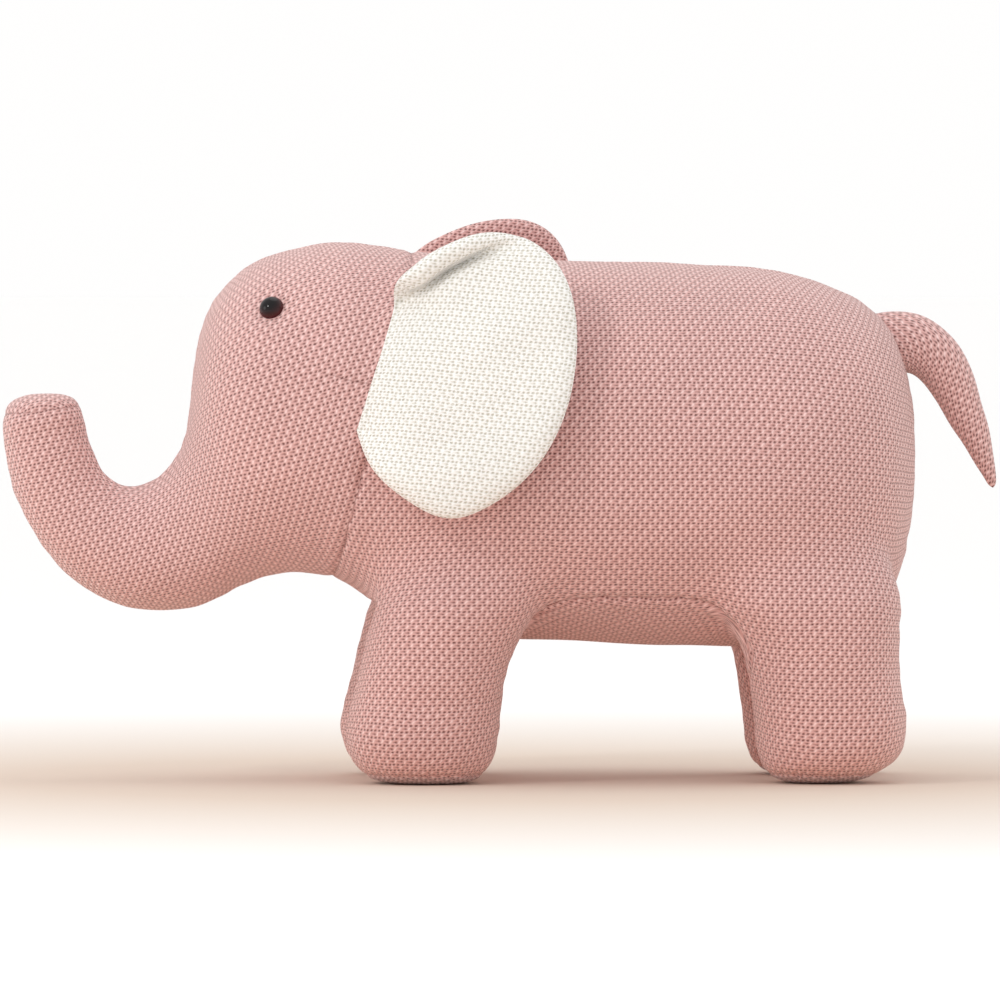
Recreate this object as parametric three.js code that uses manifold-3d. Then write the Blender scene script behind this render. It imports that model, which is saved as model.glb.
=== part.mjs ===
// A knitted stuffed elephant: sewn fabric panels over separate wads of filling,
// with padded ears and a tail that bend at the seams that hold them.
// Millimetres, +Z up. The head points to -X, its left side faces -Y, and the
// soles stand on Z = 0.

import * as THREE from "three";
import { LoftGeometry } from "three/addons/geometries/LoftGeometry.js";
import { mergeVertices } from "three/addons/utils/BufferGeometryUtils.js";
import Module from "manifold-3d";

const wasm = await Module();
wasm.setup();

// ---------------------------------------------------------------- dimensions

const FABRIC = 2; // thickness of the knitted fabric
const FILLING_INSET = 3; // filling surface, below the outside of the fabric
const SEAM = 0.3; // gap between two panels
const SOLE_SEAM_Z = 4.5; // height of the seam round each sole
const BELLY_SEAM_Z = 88; // height of the seam between sides and underbody
const BELLY_FRONT_X = 0; // where the underbody widens, behind the front legs
const BELLY_BACK_X = 122.3; // and where it narrows again, in front of the rear legs
const LEG_Y = 52; // centre line of each leg, from the middle plane
const LEG_HALF_WIDTH = 38;
const LEG_TOP_LEAN = 0.25; // how far a leg leans to the middle for each millimetre above the seam
const ROUNDNESS = 2.2; // 2 is an ellipse, more is squarer
const FAR = 400; // larger than the toy, for cutting blocks

const BODY_SIDES = 18;
const HEAD_SIDES = 16;
const LEG_SIDES = 12;
const TAIL_SIDES = 8;
const EYE_SIDES = 12;

// The neck seam lies in a plane that leans back as it rises.
const NECK_TOP = new THREE.Vector2(-50.5, 237.5);
const NECK_LOW = new THREE.Vector2(-79, 120);

// Torso cross-sections from the neck to the rump: x, lowest z, highest z, half width.
const TORSO = [
  [-92, 104, 262, 68],
  [-78, 100.5, 264.2, 76],
  [-58, 84, 264, 83],
  [-36, 75, 262.6, 89],
  [20, 69.5, 259.2, 95.5],
  [80, 66.5, 257.3, 96],
  [125, 66, 255, 93.5],
  [155, 68, 248.8, 88],
  [178, 75.5, 239.2, 75],
  [192, 88.5, 227.8, 60],
  [201, 109, 209, 41],
  [206.6, 147, 180, 14],
];

// Head and trunk cross-sections from the trunk's tip to the neck:
// lower edge x, z, upper edge x, z, half width.
const HEAD = [
  [-241, 192, -215, 192.6, 13],
  [-248, 185.4, -208.6, 187, 19.7],
  [-248.5, 173, -207.2, 172, 20.5],
  [-244, 149, -202.5, 160, 21.5],
  [-235, 127.6, -196.5, 151.5, 22.5],
  [-218.9, 104.8, -190, 146.7, 25.5],
  [-195, 88.9, -183, 145.4, 29],
  [-170, 84.2, -174, 148.4, 33],
  [-151, 87, -165.5, 155.7, 38],
  [-137, 93, -158, 167.4, 46],
  [-124, 100, -154.2, 188, 56],
  [-109, 103.3, -149.6, 220, 67],
  [-93, 103.3, -133, 250, 75],
  [-77, 100, -100, 265.2, 80],
  [-50, 94, -44, 259, 76],
];
const TRUNK_SECTIONS = 10; // the first sections, as far as the face
const TIP_SEAM_Z = 186; // seam of the round cap that closes the trunk
const TIP_BACK_X = -205.4; // the cap ends before this, clear of the face

// Leg cross-sections from the sole up: z, front x, back x.
const FRONT_LEG = [
  [0, -56, -19],
  [2.6, -64.5, -13],
  [9, -73, -7.4],
  [17, -77.4, -4.2],
  [30, -77.6, -2.8],
  [50, -72.6, 0],
  [72, -67.6, 8],
  [92, -61, 20],
  [124, -48, 38],
];
const REAR_LEG = [
  [0, 142, 171],
  [2.6, 134.3, 180],
  [9, 128.3, 191],
  [17, 126, 197.6],
  [30, 125, 199],
  [50, 122.3, 196.4],
  [72, 115.5, 195.9],
  [92, 100, 194],
  [124, 90, 180],
];

// The ear's outline in its own plane, from the middle of its root: x to the
// rear, y up. The first and last points end the straight root edge.
const EAR_OUTLINE = [
  [7.7, 32.6],
  [10.3, 47.5],
  [29.7, 66.3],
  [55.1, 73.3],
  [80.5, 63.5],
  [96.2, 39.4],
  [99.9, 16.6],
  [95.9, -23.8],
  [81.8, -52.3],
  [57.5, -72.3],
  [41.3, -77.4],
  [18.8, -68.6],
  [-0.9, -50],
  [-8, -32.5],
];
const EAR_HALF_THICKNESS = 4.5;
const EAR_RIM_POINTS = 21;
const EAR_RIM_TURNS = [-65, 0, 65]; // degrees round the padded rim
const EAR_ROOT = new THREE.Vector3(-60, 84, 206); // middle of the root line
const EAR_SPLAY = 0.24; // outward for each millimetre to the rear
const EAR_LEAN = 0.27; // inward for each millimetre up

// Tail sections, root to tip: x, z, radius. The root end is rounded about the hinge.
const TAIL_HINGE = new THREE.Vector2(212.6, 216.6);
const TAIL_ROOT_RADIUS = 12.8;
const TAIL_ROOT_DIRECTION = new THREE.Vector2(0.72, -0.69);
const TAIL_OPENING_RADIUS = 4;
const TAIL_ROOT_TURNS = [72, 36]; // degrees from the first full section
const TAIL = [
  [220.5, 208.2, 12.4],
  [226.6, 197.5, 11.4],
  [232.7, 184, 9.6],
  [238.5, 170.5, 7.4],
  [243.3, 158, 4.9],
  [245.8, 150, 2.9],
  [246.9, 146, 1.2],
];
const TAIL_FILLING_LOW_Z = 158; // below this the tail is fabric alone

const EYE_X = -114.4;
const EYE_Z = 236.4;
const EYE_RADIUS = 6.2;
const EYE_HEIGHT = 4.4; // of the dome, above its upright rim
const EYE_RIM_HEIGHT = 1;
const EYE_STANDOFF = 0.65; // from the fabric's outside to the underside of the eye
const EYE_DOME_TURNS = [0, 30, 60]; // degrees up the dome
const SHANK_RADIUS = 1.8;
const SHANK_LENGTH = 9;
const WASHER_RADIUS = 6;
const WASHER_THICKNESS = 1.6;
const WASHER_STANDOFF = 1.5; // from the fabric's inside to the washer
const EYE_CLEARANCE = 0.35;

// ----------------------------------------------------------------- materials

const coat = (color, roughness) => () => new THREE.MeshStandardMaterial({ color, roughness, metalness: 0 });
const pinkKnit = coat(0xd7a69e, 0.95);
const whiteKnit = coat(0xf4f1ea, 0.95);
const filling = coat(0xefeee8, 1);
const eyeGloss = coat(0x0c0b0c, 0.08);
const washerPlastic = coat(0xe4e4e0, 0.5);

// ------------------------------------------------------------- solid helpers

// A closed mesh with shared corners, facing out.
function closedMesh(geometry) {
  const bare = new THREE.BufferGeometry().copy(geometry);
  bare.deleteAttribute("normal");
  bare.deleteAttribute("uv");
  const merged = mergeVertices(bare, 1e-4);
  if (signedVolume(merged) < 0) {
    const index = merged.index.array;
    for (let i = 0; i < index.length; i += 3) {
      [index[i + 1], index[i + 2]] = [index[i + 2], index[i + 1]];
    }
  }
  return merged;
}

function signedVolume(geometry) {
  const position = geometry.getAttribute("position");
  const corner = (k) => new THREE.Vector3().fromBufferAttribute(position, geometry.index.getX(k));
  let volume = 0;
  for (let i = 0; i < geometry.index.count; i += 3) {
    volume += corner(i).dot(corner(i + 1).cross(corner(i + 2))) / 6;
  }
  return volume;
}

// The same closed mesh with its surface moved inwards by a distance.
function inset(geometry, distance) {
  const moved = geometry.clone();
  moved.computeVertexNormals();
  const position = moved.getAttribute("position");
  const normal = moved.getAttribute("normal");
  for (let i = 0; i < position.count; i += 1) {
    position.setXYZ(
      i,
      position.getX(i) - normal.getX(i) * distance,
      position.getY(i) - normal.getY(i) * distance,
      position.getZ(i) - normal.getZ(i) * distance,
    );
  }
  return moved;
}

function solid(geometry) {
  const mesh = closedMesh(geometry);
  return new wasm.Manifold(
    new wasm.Mesh({
      numProp: 3,
      vertProperties: new Float32Array(mesh.getAttribute("position").array),
      triVerts: new Uint32Array(mesh.index.array),
    }),
  );
}

const joined = (solids) => solids.reduce((whole, piece) => whole.add(piece));

function geometryOf(shape) {
  const mesh = shape.getMesh();
  const geometry = new THREE.BufferGeometry();
  geometry.setAttribute("position", new THREE.Float32BufferAttribute(mesh.vertProperties, 3));
  geometry.setIndex(new THREE.Uint32BufferAttribute(mesh.triVerts, 1));
  const flat = geometry.toNonIndexed();
  flat.computeVertexNormals();
  return flat;
}

// A cutting block between two corners.
function block(low, high) {
  const box = new THREE.BoxGeometry(high[0] - low[0], high[1] - low[1], high[2] - low[2]);
  box.translate((low[0] + high[0]) / 2, (low[1] + high[1]) / 2, (low[2] + high[2]) / 2);
  return solid(box);
}

// A half space bounded by the neck seam, on the head's side (-1) or the torso's (1).
function neckSide(side) {
  const lean = Math.atan2(NECK_TOP.x - NECK_LOW.x, NECK_TOP.y - NECK_LOW.y);
  const box = new THREE.BoxGeometry(FAR, 2 * FAR, 3 * FAR);
  box.translate((side * (FAR + SEAM)) / 2, 0, 0);
  box.rotateY(lean);
  box.translate(NECK_TOP.x, 0, NECK_TOP.y);
  return solid(box);
}

// ------------------------------------------------------------ cross-sections

const rounded = (value) => Math.sign(value) * Math.abs(value) ** (2 / ROUNDNESS);

// A closed ring about a centre, between two half axes.
function ring(centre, across, along, sides) {
  return Array.from({ length: sides }, (_, i) => {
    const turn = ((i + 0.5) / sides) * 2 * Math.PI;
    return centre
      .clone()
      .addScaledVector(across, rounded(Math.cos(turn)))
      .addScaledVector(along, rounded(Math.sin(turn)));
  });
}

function loft(sections) {
  return closedMesh(new LoftGeometry(sections, { capStart: true, capEnd: true }));
}

// A ring that stands across the toy between a lower and an upper point of its side outline.
function uprightRing(lowX, lowZ, highX, highZ, halfWidth, sides) {
  const low = new THREE.Vector3(lowX, 0, lowZ);
  const high = new THREE.Vector3(highX, 0, highZ);
  const centre = low.clone().lerp(high, 0.5);
  return ring(centre, new THREE.Vector3(0, halfWidth, 0), high.sub(centre), sides);
}

function torsoForm() {
  return loft(TORSO.map(([x, low, high, width]) => uprightRing(x, low, x, high, width, BODY_SIDES)));
}

function headForm(sections) {
  return loft(sections.map((section) => uprightRing(...section, HEAD_SIDES)));
}

// A leg is as wide as it is thick, and its sole rounds in as its outline does.
function legForm(outline, side) {
  const foot = outline.filter(([z]) => z < BELLY_SEAM_Z / 2);
  const footLength = Math.max(...foot.map(([, front, back]) => back - front));
  const sections = outline.map(([z, front, back]) => {
    const width = z < BELLY_SEAM_Z / 2 ? (LEG_HALF_WIDTH * (back - front)) / footLength : LEG_HALF_WIDTH;
    const lean = LEG_TOP_LEAN * Math.max(0, z - BELLY_SEAM_Z);
    return ring(
      new THREE.Vector3((front + back) / 2, side * (LEG_Y - lean), z),
      new THREE.Vector3((back - front) / 2, 0, 0),
      new THREE.Vector3(0, width, 0),
      LEG_SIDES,
    );
  });
  return loft(sections);
}

// ------------------------------------------------------------ body and head

const LEGS = [
  { name: "front_left", outline: FRONT_LEG, side: -1 },
  { name: "front_right", outline: FRONT_LEG, side: 1 },
  { name: "rear_left", outline: REAR_LEG, side: -1 },
  { name: "rear_right", outline: REAR_LEG, side: 1 },
];

const torso = torsoForm();
const head = headForm(HEAD);
const legs = LEGS.map(({ outline, side }) => legForm(outline, side));
const forms = [torso, head, ...legs];

// The whole toy's solid, as far in from its outside as a distance.
const wholeForm = (distance) => joined(forms.map((form) => solid(inset(form, distance))));

// The fabric skin, before it is cut along its seams.
const fabric = wholeForm(0).subtract(wholeForm(FABRIC));
const half = SEAM / 2;
const leftHalf = block([-FAR, -FAR, -FAR], [FAR, -half, FAR]);
const rightHalf = block([-FAR, half, -FAR], [FAR, FAR, FAR]);

// The underbody takes in the belly between the legs and the inner half of each leg.
function underbodyBlock(margin) {
  const top = BELLY_SEAM_Z + margin;
  return block([-FAR, -LEG_Y - margin, -FAR], [FAR, LEG_Y + margin, top]).add(
    block([BELLY_FRONT_X - margin, -FAR, -FAR], [BELLY_BACK_X + margin, FAR, top]),
  );
}

function bodyPanels() {
  const aboveSoles = block([-FAR, -FAR, SOLE_SEAM_Z + half], [FAR, FAR, FAR]);
  const body = fabric.intersect(neckSide(1)).intersect(aboveSoles);
  const sides = body.subtract(underbodyBlock(half));
  return {
    side_panel_left: sides.intersect(leftHalf),
    side_panel_right: sides.intersect(rightHalf),
    underbody_panel: body.intersect(underbodyBlock(-half)),
  };
}

function sole({ outline, side }) {
  const [, front, back] = outline[0];
  const reach = 2 * LEG_HALF_WIDTH;
  const [lowY, highY] = side < 0 ? [-FAR, 0] : [0, FAR];
  return fabric.intersect(block([front - reach, lowY, -FAR], [back + reach, highY, SOLE_SEAM_Z - half]));
}

function headPanels() {
  const whole = fabric.intersect(neckSide(-1));
  const cap = whole.intersect(block([-FAR, -FAR, TIP_SEAM_Z + half], [TIP_BACK_X, FAR, FAR]));
  const rest = whole.subtract(block([-FAR, -FAR, TIP_SEAM_Z - half], [TIP_BACK_X, FAR, FAR]));
  return {
    head_panel_left: rest.intersect(leftHalf),
    head_panel_right: rest.intersect(rightHalf),
    trunk_tip_cap: cap,
  };
}

// ------------------------------------------------------------------- filling

function fillings() {
  const room = wholeForm(FABRIC + SEAM);
  const stuffed = (form) => solid(inset(form, FILLING_INSET)).intersect(room);
  const cavity = (form) => solid(inset(form, FILLING_INSET - SEAM));
  const trunkForm = headForm(HEAD.slice(0, TRUNK_SECTIONS));
  const skullForm = headForm(HEAD.slice(TRUNK_SECTIONS - 1));
  const wads = {
    torso_stuffing: stuffed(torso).intersect(neckSide(1)),
    head_stuffing: stuffed(skullForm).intersect(neckSide(-1)),
    trunk_stuffing: stuffed(trunkForm),
  };
  LEGS.forEach(({ name }, i) => {
    wads[`leg_stuffing_${name}`] = stuffed(legs[i]).subtract(cavity(torso)).intersect(neckSide(1));
  });
  return wads;
}

// ---------------------------------------------------------------------- eyes

// Where the left eye sits on the head, and which way the fabric faces there.
function eyeSeat() {
  const headMesh = new THREE.Mesh(head, new THREE.MeshStandardMaterial({ side: THREE.DoubleSide }));
  const from = new THREE.Vector3(EYE_X, -FAR, EYE_Z);
  const ray = new THREE.Raycaster(from, new THREE.Vector3(0, 1, 0));
  const hit = ray.intersectObject(headMesh)[0];
  return { point: hit.point, outward: hit.face.normal };
}

const seat = eyeSeat();

// The left seat, or its mirror image on the right.
function eyeFrame(side) {
  const point = new THREE.Vector3(seat.point.x, -side * seat.point.y, seat.point.z);
  const outward = new THREE.Vector3(seat.outward.x, -side * seat.outward.y, seat.outward.z);
  const turn = new THREE.Quaternion().setFromUnitVectors(new THREE.Vector3(0, 1, 0), outward.normalize());
  return { point, turn };
}

function lathe(profile) {
  const points = profile.map(([radius, height]) => new THREE.Vector2(radius, height));
  return new THREE.LatheGeometry(points, EYE_SIDES);
}

// A domed button with a shank that passes through the fabric, in its own upright frame.
function eyeGeometry() {
  const domeFoot = EYE_STANDOFF + EYE_RIM_HEIGHT;
  const dome = EYE_DOME_TURNS.map((degrees) => {
    const turn = (degrees * Math.PI) / 180;
    return [EYE_RADIUS * Math.cos(turn), domeFoot + EYE_HEIGHT * Math.sin(turn)];
  });
  return lathe([
    [0, -SHANK_LENGTH],
    [SHANK_RADIUS, -SHANK_LENGTH],
    [SHANK_RADIUS, EYE_STANDOFF],
    [EYE_RADIUS, EYE_STANDOFF],
    ...dome,
    [0, domeFoot + EYE_HEIGHT],
  ]);
}

// The locking washer pushed on behind the fabric.
function washerGeometry() {
  const bore = SHANK_RADIUS + EYE_CLEARANCE;
  const top = -FABRIC - WASHER_STANDOFF;
  return lathe([
    [bore, top - WASHER_THICKNESS],
    [WASHER_RADIUS, top - WASHER_THICKNESS],
    [WASHER_RADIUS, top],
    [bore, top],
    [bore, top - WASHER_THICKNESS],
  ]);
}

// A round cutter at an eye, from a depth below the fabric to a height above it.
function eyeCutter(side, radius, depth, height) {
  const { point, turn } = eyeFrame(side);
  const drill = new THREE.CylinderGeometry(radius, radius, depth + height, EYE_SIDES);
  drill.translate(0, (height - depth) / 2, 0);
  drill.applyQuaternion(turn);
  drill.translate(point.x, point.y, point.z);
  return solid(drill);
}

// ------------------------------------------------------------------ assembly

const elephant = new THREE.Group();
elephant.name = "stuffed_elephant";

function addPiece(parent, name, geometry, material) {
  const mesh = new THREE.Mesh(geometry, material);
  mesh.name = name;
  parent.add(mesh);
  return mesh;
}

const SIDES = [
  { name: "left", side: -1 },
  { name: "right", side: 1 },
];

function addBody() {
  const panels = { ...bodyPanels(), ...headPanels() };
  const wads = fillings();
  for (const { name, side } of SIDES) {
    const hole = eyeCutter(side, SHANK_RADIUS + EYE_CLEARANCE, 3 * FABRIC, 3 * FABRIC);
    const panel = `head_panel_${name}`;
    panels[panel] = panels[panel].subtract(hole);
    const pocketDepth = SHANK_LENGTH + EYE_CLEARANCE;
    const pocket = eyeCutter(side, WASHER_RADIUS + EYE_CLEARANCE, pocketDepth, FABRIC);
    wads.head_stuffing = wads.head_stuffing.subtract(pocket);
  }
  for (const [name, panel] of Object.entries(panels)) {
    addPiece(elephant, name, geometryOf(panel), pinkKnit());
  }
  for (const leg of LEGS) {
    addPiece(elephant, `sole_${leg.name}`, geometryOf(sole(leg)), pinkKnit());
  }
  for (const [name, wad] of Object.entries(wads)) {
    addPiece(elephant, name, geometryOf(wad), filling());
  }
}

function addEyes() {
  for (const { name, side } of SIDES) {
    const { point, turn } = eyeFrame(side);
    const group = new THREE.Group();
    group.position.copy(point);
    group.quaternion.copy(turn);
    addPiece(group, `eye_${name}`, eyeGeometry(), eyeGloss());
    addPiece(group, `eye_washer_${name}`, washerGeometry(), washerPlastic());
    elephant.add(group);
  }
}

// ---------------------------------------------------------------------- ears

// Points evenly spaced along the curved rim, with the root edge left straight.
function earOutline() {
  const rim = new THREE.SplineCurve(EAR_OUTLINE.map(([x, y]) => new THREE.Vector2(x, y)));
  return rim.getSpacedPoints(EAR_RIM_POINTS - 1);
}

// Each corner of a closed outline, moved inwards.
function insetOutline(outline, distance) {
  return outline.map((point, i) => {
    const before = outline.at(i - 1);
    const after = outline[(i + 1) % outline.length];
    const along = after.clone().sub(before).normalize();
    return new THREE.Vector2(point.x + along.y * distance, point.y - along.x * distance);
  });
}

// A pad with a rounded rim, as far in from the ear's outside as a distance:
// the outline in x and z, its thickness along y.
function padForm(outline, distance) {
  const halfThickness = EAR_HALF_THICKNESS - distance;
  const sections = EAR_RIM_TURNS.map((degrees) => {
    const turn = (degrees * Math.PI) / 180;
    const pulledIn = insetOutline(outline, distance + halfThickness * (1 - Math.cos(turn)));
    const depth = halfThickness * Math.sin(turn);
    return pulledIn.map(({ x, y }) => new THREE.Vector3(x, depth, y));
  });
  return loft(sections);
}

function addEars() {
  const outline = earOutline();
  const shell = solid(padForm(outline, 0)).subtract(solid(padForm(outline, FABRIC)));
  const outerHalf = block([-FAR, -FAR, -FAR], [FAR, -half, FAR]);
  const innerHalf = block([-FAR, half, -FAR], [FAR, FAR, FAR]);
  for (const { name, side } of SIDES) {
    const ear = new THREE.Group();
    ear.position.set(EAR_ROOT.x, side * EAR_ROOT.y, EAR_ROOT.z);
    ear.rotation.set(side * Math.atan(EAR_LEAN), 0, side * Math.atan(EAR_SPLAY), "ZXY");
    const [lining, back] = side < 0 ? [outerHalf, innerHalf] : [innerHalf, outerHalf];
    addPiece(ear, `ear_lining_${name}`, geometryOf(shell.intersect(lining)), whiteKnit());
    addPiece(ear, `ear_back_${name}`, geometryOf(shell.intersect(back)), pinkKnit());
    addPiece(ear, `ear_wadding_${name}`, padForm(outline, FABRIC + SEAM), filling());
    elephant.add(ear);
  }
}

// ---------------------------------------------------------------------- tail

function tailForm() {
  const across = (radius) => new THREE.Vector3(0, radius, 0);
  const section = (centre, direction, radius) => {
    const along = new THREE.Vector3(-direction.y, 0, direction.x).multiplyScalar(radius);
    return ring(new THREE.Vector3(centre.x, 0, centre.y), across(radius), along, TAIL_SIDES);
  };
  const rootDirection = TAIL_ROOT_DIRECTION.clone().normalize();
  const sections = TAIL_ROOT_TURNS.map((degrees) => {
    const turn = (degrees * Math.PI) / 180;
    const centre = TAIL_HINGE.clone().addScaledVector(rootDirection, -TAIL_ROOT_RADIUS * Math.sin(turn));
    return section(centre, rootDirection, TAIL_ROOT_RADIUS * Math.cos(turn));
  });
  const spine = TAIL.map(([x, z]) => new THREE.Vector2(x, z));
  spine.forEach((centre, i) => {
    const before = spine[i - 1] ?? TAIL_HINGE;
    const after = spine[i + 1] ?? centre;
    sections.push(section(centre, after.clone().sub(before).normalize(), TAIL[i][2]));
  });
  return loft(sections);
}

// The round opening where the tail is sewn to the rump.
function tailOpening() {
  const direction = TAIL_ROOT_DIRECTION.clone().normalize();
  const rootEnd = TAIL_HINGE.clone().addScaledVector(direction, -TAIL_ROOT_RADIUS);
  const bore = new THREE.CylinderGeometry(
    TAIL_OPENING_RADIUS,
    TAIL_OPENING_RADIUS,
    TAIL_ROOT_RADIUS,
    TAIL_SIDES,
  );
  bore.rotateX(Math.PI / 2);
  bore.rotateY(Math.PI / 2 - direction.angle());
  bore.translate(rootEnd.x, 0, rootEnd.y);
  return solid(bore);
}

// The tail is one strip of fabric rolled round its filling.
function addTail() {
  const tail = tailForm();
  const cover = solid(tail).subtract(solid(inset(tail, FABRIC))).subtract(tailOpening());
  addPiece(elephant, "tail_cover", geometryOf(cover), pinkKnit());
  const filled = block([0, -FAR, TAIL_FILLING_LOW_Z], [FAR, FAR, FAR]);
  const wad = solid(inset(tail, FILLING_INSET)).intersect(filled);
  addPiece(elephant, "tail_stuffing", geometryOf(wad), filling());
}

addBody();
addEyes();
addEars();
addTail();

export default elephant;
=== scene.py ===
import math

import bmesh
import bpy
import numpy as np
from mathutils import Matrix, Vector
from mathutils.bvhtree import BVHTree
from mathutils.kdtree import KDTree


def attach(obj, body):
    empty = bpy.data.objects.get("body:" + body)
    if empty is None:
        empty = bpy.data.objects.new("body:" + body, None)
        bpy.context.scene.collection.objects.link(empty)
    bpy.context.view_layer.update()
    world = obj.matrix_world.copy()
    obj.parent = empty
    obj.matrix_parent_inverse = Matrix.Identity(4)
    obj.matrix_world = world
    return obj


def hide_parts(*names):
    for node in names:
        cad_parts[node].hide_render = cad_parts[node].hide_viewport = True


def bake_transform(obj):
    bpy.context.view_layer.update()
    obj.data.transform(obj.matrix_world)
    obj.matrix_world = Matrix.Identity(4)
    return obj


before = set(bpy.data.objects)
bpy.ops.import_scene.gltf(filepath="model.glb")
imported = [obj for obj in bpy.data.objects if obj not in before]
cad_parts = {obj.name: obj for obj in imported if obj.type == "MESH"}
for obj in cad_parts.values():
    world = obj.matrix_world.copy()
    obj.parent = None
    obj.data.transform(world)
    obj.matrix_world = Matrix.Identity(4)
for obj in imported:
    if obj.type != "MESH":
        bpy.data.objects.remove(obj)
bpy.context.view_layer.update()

# The toy is shaped in millimetres in the frame's own axes (head to -X, left side to -Y,
# soles on Z = 0) and handed over in metres.
MM = 0.001
FAR_MM = 400.0  # from outside the toy

# ---- outlines

NECK_TOP = (-50.5, 237.5)
NECK_LOW = (-79.0, 120.0)
SOLE_SEAM_Z = 4.6
TIP_SEAM_Z = 184.4  # in the middle of the tip; it rises towards the face
TIP_SEAM_RISE = 0.1
TIP_MIDDLE_X = -228.0
TIP_X = -205.0
LEG_Y = 52.0
LEG_HALF_WIDTH = 38.0
LEG_TOP_LEAN = 0.25
CHEST_SEAM_Z = 88.0
BELLY_MIDDLE_X = 63.0
BELLY_HALF_LENGTH = 59.0
BELLY_SEAM_BASE = 64.0
BELLY_SEAM_RISE = 28.0
ROUNDNESS = 2.2

# Torso: x, lowest z, highest z, half width.
TORSO = [
    (-92, 104, 262, 66),
    (-80, 101, 265.2, 75),
    (-70, 94, 266.3, 79),
    (-58, 84, 265.4, 83.5),
    (-38, 75, 262.8, 89),
    (0, 70, 260.2, 94.5),
    (40, 69, 258.4, 96),
    (80, 66.5, 257.5, 96),
    (120, 66, 255.6, 94),
    (148, 67, 251.2, 89.5),
    (168, 71, 244.4, 81.5),
    (183, 79, 236, 70.5),
    (194, 91, 225.2, 56),
    (201, 109, 210, 40),
    (205.3, 131, 192, 25),
    (207, 150, 175, 11),
]

# Head and trunk: lower edge x, z, upper edge x, z, half width, from the trunk's tip.
HEAD = [
    (-231.5, 192.5, -224.5, 192.6, 3.5),
    (-238, 191.5, -217.5, 191.8, 10.5),
    (-243.6, 188.9, -212.6, 189.6, 16),
    (-247.2, 184.6, -209.6, 185.4, 19.4),
    (-248.6, 175.6, -207.4, 175, 20.5),
    (-246.6, 159.0, -204, 164.4, 21.2),
    (-242.0, 142.0, -200.6, 156.6, 21.8),
    (-235, 127.6, -197, 151.6, 22.6),
    (-225.4, 112.4, -192.4, 147.8, 24.4),
    (-213.2, 100, -187.8, 146, 26.6),
    (-200.3, 91.9, -183.6, 145.6, 28.6),
    (-185.3, 85.9, -179.6, 146.2, 31),
    (-170.3, 84.3, -174.4, 148.2, 33.4),
    (-155.2, 85.6, -167.4, 153, 37),
    (-142, 90.6, -160.6, 162, 42.5),
    (-130.5, 96.8, -156, 176, 50),
    (-120, 101.2, -153.8, 196, 58.5),
    (-109, 103.3, -150.6, 218, 66.5),
    (-99, 103.3, -143.6, 237.6, 72),
    (-87, 102, -124, 257.2, 77),
    (-76, 99, -99, 265.6, 79.5),
    (-64, 95.5, -75, 267.5, 80),
    (-50, 93, -46, 260, 76),
]

# Legs: z, front x, back x, up from the sole.
FRONT_LEG = [
    (0, -55, -20),
    (0.7, -60, -17),
    (2.4, -66, -12.6),
    (5, -70, -9.8),
    (9, -73.7, -7),
    (15.6, -77.1, -4.5),
    (22.5, -78.3, -3.4),
    (30, -77.8, -2.6),
    (40, -75.2, -1.5),
    (50, -72.6, 0),
    (62, -70, 3.2),
    (74, -67.2, 9),
    (92, -61, 20),
    (124, -48, 38),
]
REAR_LEG = [
    (0, 143, 170),
    (0.7, 139, 174),
    (2.4, 134.5, 180),
    (5, 131, 185.3),
    (9, 128.3, 191.4),
    (15.6, 126.2, 197.3),
    (22.5, 125.5, 199),
    (30, 125, 199.3),
    (40, 123.6, 198),
    (50, 122.3, 196.4),
    (62, 119.8, 195.8),
    (74, 114.5, 196),
    (92, 100, 196.4),
    (124, 88, 186),
]

# Cheek dart and eye, as x, z on the side of the head.
CHEEK_DART = [(-88.5, 203.4), (-77, 200), (-66, 198), (-56, 196.8)]
EYE_XZ = (-115, 235)

# Ear outline in the ear's own plane, from the middle of its root.
EAR_OUTLINE = [
    (7.7, 32.6),
    (10.3, 47.5),
    (29.7, 66.3),
    (55.1, 73.3),
    (80.5, 63.5),
    (96.2, 39.4),
    (99.9, 16.6),
    (95.9, -23.8),
    (81.8, -52.3),
    (57.5, -72.3),
    (41.3, -77.4),
    (18.8, -68.6),
    (-0.9, -50),
    (-8, -32.5),
]
EAR_ROOT = (-60.0, 84.0, 206.0)
EAR_SPLAY = 0.24
EAR_LEAN = 0.27

# Tail: x, z, radius, from inside the rump to the tip.
TAIL = [
    (178, 214.5, 13.5),
    (187, 217, 14.6),
    (196, 218.2, 15.2),
    (203.5, 217.8, 15.2),
    (211, 215.4, 14.4),
    (219.4, 208.6, 13.2),
    (226.2, 197.8, 11.7),
    (232.4, 184.2, 9.7),
    (238.3, 170.6, 7.4),
    (243.2, 158, 4.9),
    (245.9, 150, 2.9),
    (246.9, 146.2, 1.3),
    (247.1, 145.3, 0.3),
]

# The knit's rows climb a little towards the back of the head, and fall a little on the ears.
HEAD_ROW_TILT = math.radians(13)
EAR_ROW_TILT = math.radians(7)
INNER_LEG_Y = 40.0

# The skin's mesh and the filling's fit under it.
VOXEL = 3.0
FIRST_RELAX = 14
LAST_RELAX = 10
CREASE_ROUNDS = 70
CREASE_FILL = 0.9
KNIT_ROUNDS = 300
SOLE_FLAT = 0.6  # fabric lower than this lies on the floor

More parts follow.
